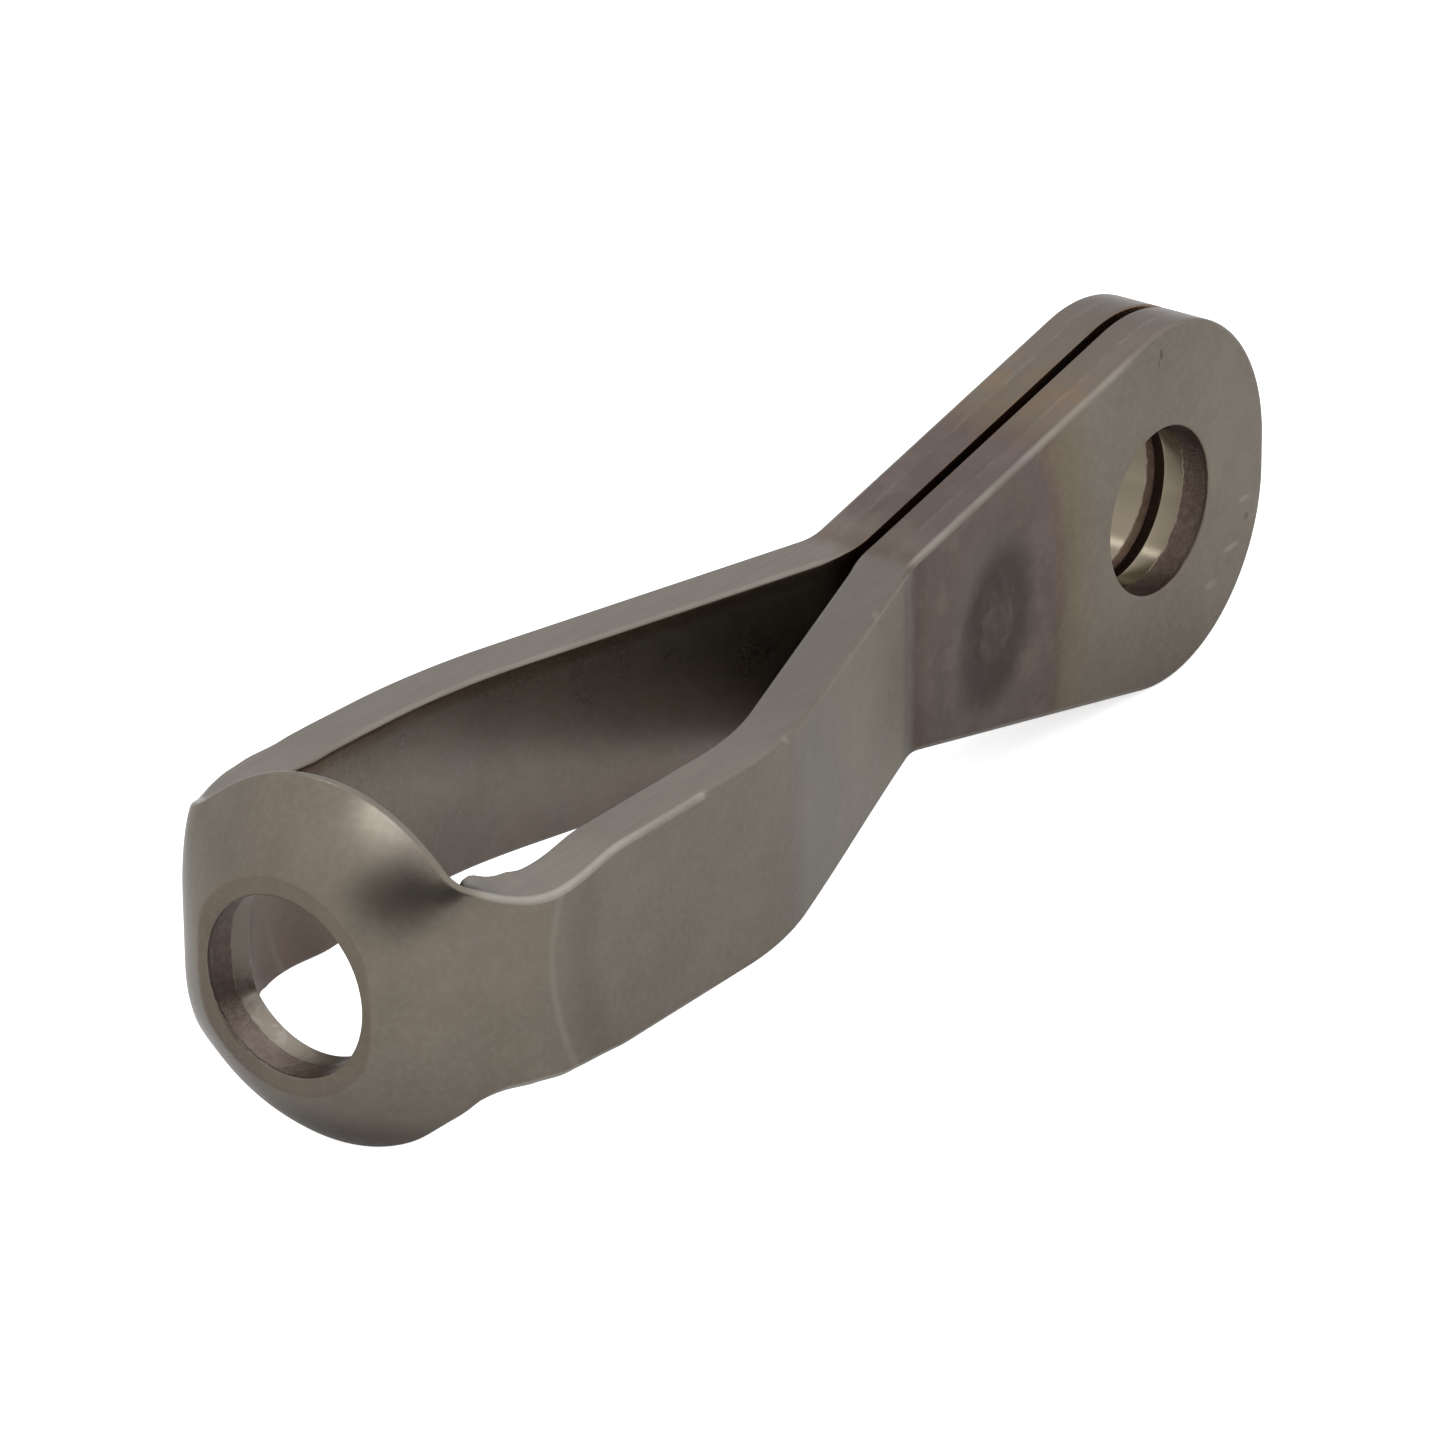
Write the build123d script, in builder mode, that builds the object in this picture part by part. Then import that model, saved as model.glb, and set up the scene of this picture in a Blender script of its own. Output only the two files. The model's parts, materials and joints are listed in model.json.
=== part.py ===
"""Strap eye end fitting, folded from one strip of stainless sheet.

Millimetres.  The origin is the centre of the eye bore, halfway between the
two ears.  +X runs from the domed head to the eye, so the head is at -X.
+Y is the eye's axis.  +Z is up, across the width of the strip.
"""
import math
import os

from build123d import *

os.makedirs("parts", exist_ok=True)

# sheet and ears
sheet = 2.5
ear_gap = 0.5
eye_radius = 4.0
ear_corner_radius = 8.1
ear_corner_x = 0.55
ear_corner_z = 0.75
strap_width = 9.2

# where the two legs fold, along X, and the outer radius of each fold
ear_fold_x = -19.7
near_fold_x = -37.8
far_fold_x = -41.0
ear_fold_radius = 3.0
near_fold_radius = 8.3
far_fold_radius = 36.0
far_leg_lean = 0.35
lean_start_x = -48.5
lean_radius = 60.0

# domed head
basket_width = 18.0
nose_x = -61.0
nose_trim_ratio = 0.122
dome_bulge = 1.4
coin_radius = 4.6
rim_angle = 54.5
stud_radius = 4.06
crease_radius = 2.5

# scallops between the head and the two legs
neck_pinch = 0.4
neck_run = 1.5
scallop_run = 4.2
scallop_radius = 20.0
scallop_corner = 1.6

# spot weld that closes the ears
weld_x = -12.9
weld_z = 0.2
weld_radius = 3.1
weld_dent = 0.15

# derived positions
ear_face_y = sheet + ear_gap / 2
basket_half = basket_width / 2
strap_half = strap_width / 2
beyond = 30.0
wrap_centre_x = nose_x + basket_half * (1 - nose_trim_ratio)
dome_radius = basket_half + dome_bulge
dome_centre_x = nose_x + math.sqrt(dome_radius**2 - coin_radius**2)
neck_half = strap_half - neck_pinch
neck_x = wrap_centre_x - neck_run
scallop_start_x = neck_x - scallop_run
scallop_end_x = neck_x + math.sqrt(neck_pinch * (2 * scallop_radius - neck_pinch))
scallop_start_z = neck_half + scallop_radius - math.sqrt(scallop_radius**2 - scallop_run**2)


def at_x(sketch, x):
    """Corners of a sketch that stand at one X."""
    return [corner for corner in sketch.vertices() if abs(corner.X - x) < 0.01]


def fold_plan(inward):
    """Plan outline of the folded strip, moved inward by a distance."""
    with BuildSketch(Plane.XY) as plan:
        with BuildLine():
            wrap = ThreePointArc(
                (wrap_centre_x, basket_half),
                (wrap_centre_x - basket_half, 0),
                (wrap_centre_x, -basket_half),
            )
            Polyline(
                wrap @ 1,
                (near_fold_x, -basket_half),
                (ear_fold_x, -ear_face_y),
                (beyond, -ear_face_y),
                (beyond, ear_face_y),
                (ear_fold_x, ear_face_y),
                (far_fold_x, basket_half - far_leg_lean),
                (lean_start_x, basket_half),
                wrap @ 0,
            )
        make_face()
        fillet(at_x(plan, near_fold_x), near_fold_radius)
        fillet(at_x(plan, far_fold_x), far_fold_radius)
        fillet(at_x(plan, lean_start_x), lean_radius)
        fillet(at_x(plan, ear_fold_x), ear_fold_radius)
        if inward:
            offset(amount=-inward, kind=Kind.INTERSECTION, mode=Mode.REPLACE)
    return plan.sketch


def former(inward):
    """Solid the sheet is folded over: the plan's prism, domed at the head."""
    with BuildPart() as body:
        with BuildSketch(Plane.XY):
            add(fold_plan(inward))
        extrude(amount=beyond, both=True)
        with BuildPart(mode=Mode.INTERSECT):
            with Locations((dome_centre_x, 0, 0)):
                Sphere(dome_radius - inward)
                Box(4 * beyond, 4 * beyond, 4 * beyond, align=(Align.MIN, Align.CENTER, Align.CENTER))
        with Locations((nose_x + inward, 0, 0)):
            Box(beyond, 4 * beyond, 4 * beyond, align=(Align.MAX, Align.CENTER, Align.CENTER), mode=Mode.SUBTRACT)
    return body


def crease_edges(body):
    """Edges where the dome meets the wrapped strip."""
    curved = [edge for edge in body.edges() if edge.geom_type == GeomType.BSPLINE]
    rims = [edge for edge in body.edges() if edge.geom_type == GeomType.CIRCLE]
    return curved + [edge for edge in rims if wrap_centre_x < edge.center().X < dome_centre_x - 0.01]


with BuildPart() as blank:
    with BuildSketch(Plane.XZ):
        with BuildLine():
            for side in (-1, 1):
                ThreePointArc(
                    (scallop_start_x, side * scallop_start_z),
                    (neck_x, side * neck_half),
                    (scallop_end_x, side * strap_half),
                )
                Line((scallop_end_x, side * strap_half), (ear_fold_x, side * strap_half))
            Line((scallop_start_x, -scallop_start_z), (scallop_start_x, scallop_start_z))
            Line((ear_fold_x, -strap_half), (ear_fold_x, strap_half))
        make_face()
    extrude(amount=beyond, both=True)
    with BuildSketch(Plane.XZ):
        with BuildLine():
            for side in (-1, 1):
                CenterArc((ear_corner_x, side * ear_corner_z), ear_corner_radius, 0, 360)
            Line((ear_fold_x, -strap_half), (ear_fold_x, strap_half))
        make_hull()
    extrude(amount=beyond, both=True)
    with BuildSketch(Plane.XZ):
        with BuildLine():
            run = beyond * math.cos(math.radians(rim_angle))
            rise = beyond * math.sin(math.radians(rim_angle))
            Polyline(
                (dome_centre_x, 0),
                (dome_centre_x - run, rise),
                (dome_centre_x - run, 0),
                (dome_centre_x, 0),
            )
        make_face()
    revolve(axis=Axis.X, revolution_arc=360)
    corners = [edge for edge in blank.edges() if edge.geom_type == GeomType.BSPLINE]
    fillet(corners, scallop_corner)


with BuildPart() as strap:
    add(former(0).part)
    fillet(crease_edges(strap), crease_radius)
    add(former(sheet).part, mode=Mode.SUBTRACT)
    add(blank.part, mode=Mode.INTERSECT)

    # the two bores: the eye through both ears, the stud hole in the head
    with Locations(Plane.XZ):
        Cylinder(eye_radius, 4 * ear_face_y, mode=Mode.SUBTRACT)
    with Locations(Plane.YZ.offset(nose_x)):
        Cylinder(stud_radius, 4 * sheet, mode=Mode.SUBTRACT)

    # spot weld: the nugget across the gap, and the two electrode dents
    with Locations(Plane.XZ):
        with Locations((weld_x, weld_z)):
            Cylinder(weld_radius, 2 * ear_gap)
            for side in (-1, 1):
                with Locations((0, 0, side * (ear_face_y + weld_dent))):
                    Cylinder(weld_radius, 4 * weld_dent, mode=Mode.SUBTRACT)

print(strap.part.volume, strap.part.is_valid, len(strap.part.solids()))
strap.part.label = "strap"
export_step(strap.part, "parts/strap.step")
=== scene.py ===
import json
import math

import bmesh
import bpy
import numpy as np
from mathutils import Matrix, Vector


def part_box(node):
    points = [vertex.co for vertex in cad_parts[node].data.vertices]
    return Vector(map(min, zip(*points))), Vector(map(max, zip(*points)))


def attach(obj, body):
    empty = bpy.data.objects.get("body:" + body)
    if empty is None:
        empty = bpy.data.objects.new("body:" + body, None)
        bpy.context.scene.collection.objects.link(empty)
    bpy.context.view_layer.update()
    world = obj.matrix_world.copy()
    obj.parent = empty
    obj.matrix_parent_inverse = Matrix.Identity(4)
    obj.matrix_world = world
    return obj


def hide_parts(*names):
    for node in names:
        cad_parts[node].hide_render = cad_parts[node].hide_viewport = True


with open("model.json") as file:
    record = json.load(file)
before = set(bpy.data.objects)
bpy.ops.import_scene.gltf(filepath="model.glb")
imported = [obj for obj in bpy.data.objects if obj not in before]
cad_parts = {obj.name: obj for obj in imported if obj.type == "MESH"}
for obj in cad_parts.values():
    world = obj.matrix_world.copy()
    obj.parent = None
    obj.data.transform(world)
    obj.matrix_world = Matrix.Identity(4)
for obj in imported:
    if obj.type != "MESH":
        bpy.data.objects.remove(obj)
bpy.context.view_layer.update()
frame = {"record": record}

# The strap is one sheet. Its outer skin is worked out first, as points and outward
# normals; the inner skin lies one sheet's thickness behind it, and a rounded band
# carried along the outline and round each punched hole joins the two.
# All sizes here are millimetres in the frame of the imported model.
MM = 0.001
mounts = {mount["name"]: mount for mount in frame["record"]["mounts"]}
low, high = (np.array(corner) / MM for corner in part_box("strap"))

# sheet, ears and eye
sheet = mounts["stud_hole"]["dims"]["length_mm"]
eye_radius = mounts["eye"]["dims"]["r_mm"]
ear_face_y = mounts["far_cheek"]["pos_m"][1] / MM
ear_gap = 2 * (ear_face_y - sheet)
ear_corner_radius = 8.1
ear_corner_x = high[0] - ear_corner_radius
ear_corner_z = high[2] - ear_corner_radius
ear_seam_x = -9.3

# legs
strap_half = 4.6
ear_fold_x = -19.7
near_fold_x = -37.8
far_fold_x = -41.0
far_leg_lean = 0.35
lean_start_x = -48.5

# head
nose_x = low[0]
basket_half = high[1]
nose_trim_ratio = 0.122
dome_bulge = 1.4
dome_setback = 9.327
coin_depth = 0.12
wrap_centre_x = nose_x + (1 - nose_trim_ratio) * basket_half
dome_radius = basket_half + dome_bulge
dome_centre_x = nose_x + dome_setback
dome_centre = np.array([dome_centre_x, 0, 0])
coined_x = nose_x + coin_depth
stud_radius = mounts["stud_hole"]["dims"]["r_mm"]
rim_angle = math.radians(54.5)
crease_blend = 0.32
coin_blend = 0.05

# at the scallops' roots the wrap stays upright up to the cut edge: where the far upper
# root is, as distances from the frame's three planes, how wide it reaches, how far the
# dome gives way there, and how much softer the crease is
root_place = np.array([57.8, 7.6, 5.3])
root_spread = 1.2
root_lift = 0.3
root_blend = 0.2

# scallops: half the strap's width at the neck, where the neck is, the two arcs that
# meet there, and the roundings where they run into the rim, the legs and the ears
neck_pinch = 0.52
neck_run = 0.5
neck_half = strap_half - neck_pinch
neck_x = wrap_centre_x - neck_run
head_scallop_radius = 7.6
leg_scallop_radius = 12.0
scallop_corner = 0.45
scallop_blend = 0.3
ear_edge_bend = 0.7

# cut edges: how far a skin's border lies inside the cut face, and the rounding of the
# face's outer and inner corners
outline_inset = 0.4
outline_edge = 0.3
leg_burr = 0.24
ear_burr = 0.07
hole_inset = 0.16
hole_edge = 0.14
hole_burr = 0.06
hole_sizes = (hole_inset, hole_edge, hole_burr)

# how far the cut face swells out where the strip is wrapped, and where along X it
# rises to that and falls back
wrap_swell = 0.5
swell_rise = (-58.0, -57.0)
swell_fall = (-57.0, -50.3)

# share of a punched wall that is torn, from its outer face inwards
eye_torn_share = {"near": 0.57, "far": 0.2}
stud_torn_share = 0.55

# spot weld: the nugget between the ears, and the dish that the electrode pressed in each
weld_x = -12.9
weld_z = 0.2
weld_radius = 3.1
weld_dent = 0.15
dish_flat = 0.5 * weld_radius
dish_reach = 1.3 * weld_radius
dish_squeeze = 0.8
nugget_waist = 0.3
nugget_overlap = 0.05

# how finely the skins are divided, and where along X the columns gather for the weld
across_strap = 44
rim_steps = 26
corner_steps = 10
scallop_steps = 16
ear_line_steps = 22
ear_arc_steps = 40
ear_rings = 14
head_rings = 26
turn_steps = 7
wall_steps = 11
nugget_sections = 9
circle_sides = 48
halvings = 45
merge_distance = 0.004
columns_gather = (-20.0, -16.0)


def smooth_max(a, b, blend):
    """The larger of two lengths; where they differ by less than the blend, the square
    of what is left of it is added, which rounds the corner between them."""
    left = np.clip(blend - np.abs(a - b), 0, None) / blend
    return np.maximum(a, b) + left**2 * blend / 4


def smooth_step(value, start, end):
    """0 before the start, 1 after the end, and 3t^2 - 2t^3 between them."""
    t = np.clip((value - start) / (end - start), 0, 1)
    return t * t * (3 - 2 * t)


def unit(vectors):
    """Vectors divided by their own lengths."""
    return vectors / np.linalg.norm(vectors, axis=-1, keepdims=True)


def ramp(run, width):
    """A bend in a line: zero before it, the run itself after it, and the parabola
    (run + width)^2 / (4 width) in between."""
    return np.clip(run + width, 0, 2 * width) ** 2 / (4 * width) + np.maximum(run - width, 0)


def ramp_slope(run, width):
    """Slope of the ramp: a straight rise from 0 to 1 over twice the width."""
    return np.clip((run + width) / (2 * width), 0, 1)


near_slope = (basket_half - ear_face_y) / (ear_fold_x - near_fold_x)
far_slope = (basket_half - far_leg_lean - ear_face_y) / (ear_fold_x - far_fold_x)
lean_slope = far_leg_lean / (far_fold_x - lean_start_x)

# each fold of a leg: where it is, the change of slope, and half its length
near_folds = ((ear_fold_x, near_slope, 0.8), (near_fold_x, -near_slope, 2.8))
far_folds = (
    (ear_fold_x, far_slope, 0.8),
    (far_fold_x, lean_slope - far_slope, 4.2),
    (lean_start_x, -lean_slope, 1.4),
)


def leg_skin(x, z, side, folds):
    """Points and normals of a leg's outer skin. Its distance from the middle plane is
    the ear's, plus one ramp for each fold, running from the ears to the head."""
    x, z = np.broadcast_arrays(x, z)
    y = np.full(x.shape, ear_face_y)
    slope = np.zeros(x.shape)
    for fold_x, bend, width in folds:
        y += bend * ramp(fold_x - x, width)
        slope += bend * ramp_slope(fold_x - x, width)
    points = np.stack([x, side * y, z], -1)
    normals = np.stack([slope, side * np.ones_like(x), np.zeros_like(x)], -1)
    return points, unit(normals)


def head_level(points):
    """How far points stand outside the head: the smooth greatest of their distances
    from the wrap's upright cylinder, from the dome's sphere and from the coined nose.
    Round the roots a bell curve of the distance lowers the dome's level."""
    x, y, z = np.moveaxis(points, -1, 0)
    from_root = np.linalg.norm(np.abs(points) - root_place, axis=-1)
    near_root = np.exp(-((from_root / root_spread) ** 2) / 2)
    wrap = np.hypot(np.minimum(x - wrap_centre_x, 0), y) - basket_half
    dome = np.sqrt((x - dome_centre_x) ** 2 + y**2 + z**2) - dome_radius - root_lift * near_root
    crease = smooth_max(wrap, dome, crease_blend + root_blend * near_root)
    return smooth_max(crease, coined_x - x, coin_blend)


def head_normals(points):
    """Outward normals of the head: the gradient of its level, by central differences."""
    step = 0.01
    shifts = step * np.eye(3)
    rises = [head_level(points + shift) - head_level(points - shift) for shift in shifts]
    return unit(np.stack(rises, -1))


def first_root(level, start, end):
    """Where a rising level passes zero between two arrays of bounds, by halving the
    span again and again."""
    for _ in range(halvings):
        middle = (start + end) / 2
        outside = level(middle) > 0
        end = np.where(outside, middle, end)
        start = np.where(outside, start, middle)
    return (start + end) / 2


def from_dome_centre(tilt, turn):
    """Unit rays from the dome's centre: tilt is the angle off -X, turn goes round X
    from +Y towards +Z."""
    tilt, turn = np.broadcast_arrays(tilt, turn)
    ring = np.sin(tilt)
    return np.stack([-np.cos(tilt), ring * np.cos(turn), ring * np.sin(turn)], -1)


def on_head(rays):
    """Where rays from the dome's centre leave the head."""
    far = np.full(rays.shape[:-1], 2 * dome_radius)

    def level(reach):
        return head_level(dome_centre + rays * reach[..., None])

    return dome_centre + rays * first_root(level, 0 * far, far)[..., None]


def beside_head(x, z, side):
    """Points of the head's skin straight out along Y from given x and z."""
    x, z = np.broadcast_arrays(x, z)
    far = np.full(x.shape, 2.0 * basket_half)

    def level(y):
        return head_level(np.stack([x, y, z], -1))

    return np.stack([x, side * first_root(level, 0 * far, far), z], -1)


def tilt_and_turn(points):
    """The ray angles of points as seen from the dome's centre."""
    x, y, z = np.moveaxis(points - dome_centre, -1, 0)
    return np.arctan2(np.hypot(y, z), -x), np.arctan2(z, y)


# the ear's straight edge is the tangent from the fold to the ear's corner circle
corner_inset = ear_corner_radius - outline_inset
fold_inset = strap_half - outline_inset
fold_to_corner = math.hypot(ear_corner_x - ear_fold_x, ear_corner_z - fold_inset)
ear_edge_angle = math.asin(corner_inset / fold_to_corner) + math.atan2(
    ear_corner_z - fold_inset, ear_corner_x - ear_fold_x
)


def half_width(x):
    """Half the strap's width less the rounded edge: level along the legs, two arcs
    that meet at the neck, each level beyond nine tenths of its radius, and a ramp up
    the ear's straight edge."""
    radius = np.where(x < neck_x, head_scallop_radius, leg_scallop_radius)
    run = np.minimum(np.abs(x - neck_x), 0.9 * radius)
    scallop = neck_half + radius - np.sqrt(radius**2 - run**2)
    straight = np.full(np.shape(x), strap_half)
    legs = np.where(x < neck_x, scallop, -smooth_max(-scallop, -straight, scallop_blend))
    return legs + math.tan(ear_edge_angle) * ramp(x - ear_fold_x, ear_edge_bend) - outline_inset


def rim_part(side):
    """Outline of the head from the top of the rim to the neck, in three runs: the
    rim's circle, a round corner, and the scallop. In the corner, the way past the rim
    and the height above the scallop are both r (1 - cos) and r (1 - sin) of one angle."""
    rim_tilt = rim_angle - outline_inset / dome_radius

    def place(beyond_rim, above_scallop):
        tilt = rim_tilt + beyond_rim / dome_radius

        def level(turn):
            points = on_head(from_dome_centre(tilt, turn))
            return points[..., 2] - half_width(points[..., 0]) - above_scallop

        return from_dome_centre(tilt, first_root(level, 0 * tilt, 0 * tilt + math.pi / 2))

    angle = np.linspace(0, math.pi / 2, corner_steps + 1)
    past_rim = scallop_corner * (1 - np.cos(angle))
    over_scallop = scallop_corner * (1 - np.sin(angle))
    corner = on_head(place(past_rim, over_scallop))
    start_turn = tilt_and_turn(corner[0])[1]
    rim = on_head(from_dome_centre(rim_tilt, np.linspace(math.pi / 2, start_turn, rim_steps + 1)))
    x = np.linspace(corner[-1, 0], wrap_centre_x, scallop_steps + 1)
    scallop = beside_head(x, half_width(x), 1)
    points = np.concatenate([rim[:-1], corner[:-1], scallop])
    return points * np.array([1, side, 1])


def leg_stations():
    """Places along X of a leg's sections, closer together at the folds and the weld."""
    runs = (
        (wrap_centre_x, -44.0, 26),
        (-44.0, -34.0, 36),
        (-34.0, -22.0, 26),
        (-22.0, -17.0, 24),
        (-17.0, ear_seam_x, 62),
    )
    parts = [np.linspace(start, end, count, endpoint=False) for start, end, count in runs]
    return np.concatenate(parts + [[ear_seam_x]])


def ear_part(side):
    """Outline of an ear from the seam to its tip: the tangent line, the corner's arc
    and the short upright flat."""
    tangent = np.array([-math.sin(ear_edge_angle), math.cos(ear_edge_angle)])
    line_end = ear_corner_x + corner_inset * tangent[0]
    line_x = np.linspace(ear_seam_x, line_end, ear_line_steps + 1)[:-1]
    turn = np.linspace(math.pi / 2 + ear_edge_angle, 0, ear_arc_steps + 1)
    x = np.concatenate([
        line_x,
        ear_corner_x + corner_inset * np.cos(turn),
        [high[0] - outline_inset] * 2,
    ])
    z = np.concatenate([
        half_width(line_x),
        ear_corner_z + corner_inset * np.sin(turn),
        [ear_corner_z / 2, 0.0],
    ])
    return leg_skin(x, z, side, ())


def half_outline(side, folds):
    """The outline's upper half on one side of the strap, from the top of the rim to
    the tip of the ear: its points and normals."""
    head = rim_part(side)
    stations = leg_stations()
    leg, leg_normals = leg_skin(stations[1:-1], half_width(stations[1:-1]), side, folds)
    ear, ear_normals = ear_part(side)
    points = np.concatenate([head, leg, ear])
    normals = np.concatenate([head_normals(head), leg_normals, ear_normals])
    return points, normals


mirror_z = np.array([1, 1, -1])

# how many points of the upper outline come before the root's sections, the straight
# leg and the ear
split = rim_steps + corner_steps // 2
neck = rim_steps + corner_steps + scallop_steps
seam = neck + len(leg_stations()) - 1


class Skin:
    """Grids of points gathered into one mesh, with a value of each finish mask for
    every point. Neighbouring grids share their border points, which are merged."""

    masks = ("edge", "wall", "depth", "torn")

    def __init__(self):
        self.points = []
        self.faces = []
        self.values = {mask: [] for mask in self.masks}
        self.count = 0

    def add(self, grid, closed=False, **values):
        """Adds a grid of rows and columns; closed joins its last row to its first."""
        rows, columns = grid.shape[:2]
        index = np.arange(rows * columns).reshape(rows, columns) + self.count
        if closed:
            index = np.concatenate([index, index[:1]])
        corners = (index[:-1, :-1], index[:-1, 1:], index[1:, 1:], index[1:, :-1])
        self.faces.append(np.stack(corners, -1).reshape(-1, 4))
        self.points.append(grid.reshape(-1, 3))
        for mask in self.masks:
            value = np.broadcast_to(values.get(mask, 0.0), (rows, columns))
            self.values[mask].append(value.reshape(-1))
        self.count += rows * columns


def band_profile(inset, edge, burr):
    """Sections of a cut edge, one row for each burr, as the way out past the skin's
    border and the depth below the skin: a quarter circle, the straight wall and a
    second quarter circle. The masks give how far each point is on the outer corner,
    on the inner corner and on the wall."""
    burr = np.reshape(burr, (-1, 1))
    none = 0 * burr
    turn = np.linspace(0, math.pi / 2, turn_steps)
    wall = np.linspace(0, 1, wall_steps + 2)[1:-1]
    out = np.hstack([
        none,
        none + inset - edge + edge * np.sin(turn),
        none + np.full(wall.shape, inset),
        inset - burr * (1 - np.cos(turn)),
        none,
    ])
    deep = np.hstack([
        none,
        none + edge * (1 - np.cos(turn)),
        edge + (sheet - burr - edge) * wall,
        sheet - burr * (1 - np.sin(turn)),
        none + sheet,
    ])
    rest = np.zeros(turn_steps + wall_steps + 1)
    outer_mask = np.concatenate([[0.0], np.sin(2 * turn) ** 0.7, rest])
    inner_mask = np.concatenate([rest, np.sin(2 * turn), [0.0]])
    fading = [0.6, 0.2, 0.0, 0.0]
    wall_mask = np.concatenate([np.zeros(turn_steps - 2), np.ones(turn_steps + wall_steps), fading])
    return out, deep, outer_mask, inner_mask, wall_mask


def add_band(skin, start, outward, end, sizes, wear=0.0, inner_wear=0.0, torn_share=0.0, swell=0.0):
    """Carries the band's section along a closed border: each point is the border's, plus
    the way outward, plus a share of the way through the sheet. The swell leans the wall
    outwards in step with the depth."""
    out, deep, outer_mask, inner_mask, wall_mask = band_profile(*sizes)
    share = deep / sheet
    lean = share.copy()
    lean[:, -1] = 0.0
    away = out + np.reshape(swell, (-1, 1)) * lean
    through = (end - start)[:, None] * share[..., None]
    grid = start[:, None] + outward[:, None] * away[..., None] + through
    rubbed = outer_mask * np.reshape(wear, (-1, 1)) + inner_mask * np.reshape(inner_wear, (-1, 1))
    skin.add(grid, True, edge=rubbed, wall=wall_mask, depth=share, torn=torn_share)


# how much the outline's outer corner is rubbed at places along X
outline_rubbing = (
    (-57.7, 0.12), (-57.2, 0.9), (-52.0, 1.0), (-48.0, 0.75), (-44.1, 0.5),
    (-43.8, 0.9), (-43.4, 0.05), (-37.6, 0.05), (-37.3, 0.35), (-37.0, 0.05),
    (-25.1, 0.05), (-24.8, 0.35), (-24.5, 0.05), (-20.1, 0.05), (-19.4, 0.55),
    (-4.0, 0.5), (-1.0, 0.1),
)

# how much its inner corner is rubbed on the legs, and where along X that sets in
inner_rubbing = 0.22
inner_rubbing_run = (-51.0, -46.0)


def outline_wear(x):
    """How much the outline's outer corner is rubbed, in straight lines between places."""
    places, wear = zip(*outline_rubbing)
    return np.interp(x, places, wear)


# how far a border really lies above the mirrored shape: its leg's side, upper or lower,
# the height, and where along X the lift begins, is full, starts to fade and ends
border_lifts = (
    (1, 1, 0.48, (-56.2, -53.2, -52.4, -49.6)),
    (1, -1, -0.35, (-56.2, -53.2, -52.0, -46.5)),
    (1, -1, 0.27, (-48.0, -40.0, -33.0, -22.0)),
    (-1, -1, 0.48, (-58.2, -57.3, -57.1, -55.1)),
    (-1, -1, -0.27, (-56.0, -53.6, -34.0, -21.0)),
    (-1, -1, -0.22, (-55.2, -53.0, -52.4, -49.8)),
)

# heights off the middle line over which a lift grows and, on the dome, dies away, and
# the distances from the plane between the legs over which it sets in
lift_grows = (0.5, 4.0)
lift_dies = (5.4, 7.4)
lift_aside = (1.0, 2.5)


def settle(points):
    """Points with the borders lifted: the lift is full at a border, fades to nothing
    towards the strap's middle line, and leaves the dome beyond the roots alone. Each
    bound is a smooth step, and their product times the height is the lift."""
    x, y, z = np.moveaxis(points, -1, 0)
    total = np.zeros(x.shape)
    for side, up, height, (begins, full, fades, ends) in border_lifts:
        along = smooth_step(x, begins, full) * (1 - smooth_step(x, fades, ends))
        across = smooth_step(up * z, *lift_grows) * (1 - smooth_step(up * z, *lift_dies))
        total += height * along * across * smooth_step(side * y, *lift_aside)
    return points + total[..., None] * np.array([0, 0, 1])


# what the electrode left in the ear: low ridges from one (x, z) to another, their
# height and half width
weld_ridges = (
    ((-14.15, 0.5), (-14.0, -0.55), 0.045, 0.4),
    ((-13.6, 0.2), (-13.45, -0.6), 0.025, 0.25),
    ((-12.02, -0.17), (-12.02, -0.76), 0.05, 0.09),
    ((-12.5, 0.95), (-12.65, -0.2), 0.025, 0.3),
    ((-12.3, -1.6), (-11.75, -1.05), 0.03, 0.14),
    ((-14.4, -1.45), (-13.75, -2.05), 0.03, 0.2),
    ((-13.75, -2.05), (-12.7, -1.95), 0.025, 0.22),
    ((-12.95, 1.6), (-12.6, 1.2), 0.04, 0.2),
    ((-13.35, -1.0), (-13.2, -1.6), 0.02, 0.2),
    ((-12.92, 3.5), (-12.85, 3.25), 0.025, 0.11),
    ((-12.7, 2.85), (-12.65, 2.6), 0.025, 0.11),
)


def weld_relief(x, z):
    """Heights of the ridges: each is a bell curve of the distance to its line."""
    total = np.zeros(np.shape(x))
    for start, end, height, width in weld_ridges:
        along = np.subtract(end, start)
        share = ((x - start[0]) * along[0] + (z - start[1]) * along[1]) / (along @ along)
        share = np.clip(share, 0, 1)
        apart = np.hypot(x - start[0] - share * along[0], z - start[1] - share * along[1])
        total += height * np.exp(-((apart / width) ** 2))
    return total


def weld_press(points, normals, side):
    """The ear's outer skin as the electrode left it: pushed in along its normals by a
    shallow dish that fades out at its border, less the ridges in it. On the far ear
    they are turned over."""
    x = points[..., 0]
    z = -side * points[..., 2]
    away = np.hypot(x - weld_x, dish_squeeze * (z - weld_z))
    dish = weld_dent * (1 - smooth_step(away, dish_flat, dish_reach))
    depth = (dish - weld_relief(x, z)) * smooth_step(x, ear_fold_x, ear_fold_x + 2)
    return points - depth[..., None] * normals


def strap_columns(x, half):
    """Heights of the columns across a section, from its top edge to its bottom edge:
    half its width times a share on the legs, and times the mean of the share and its
    cube on the ears, where the columns gather in the middle for the weld."""
    share = np.linspace(1, -1, across_strap)
    even = 1 - 0.5 * smooth_step(x, *columns_gather)
    return half[:, None] * share * (even[:, None] + (1 - even[:, None]) * share**2)


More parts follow.
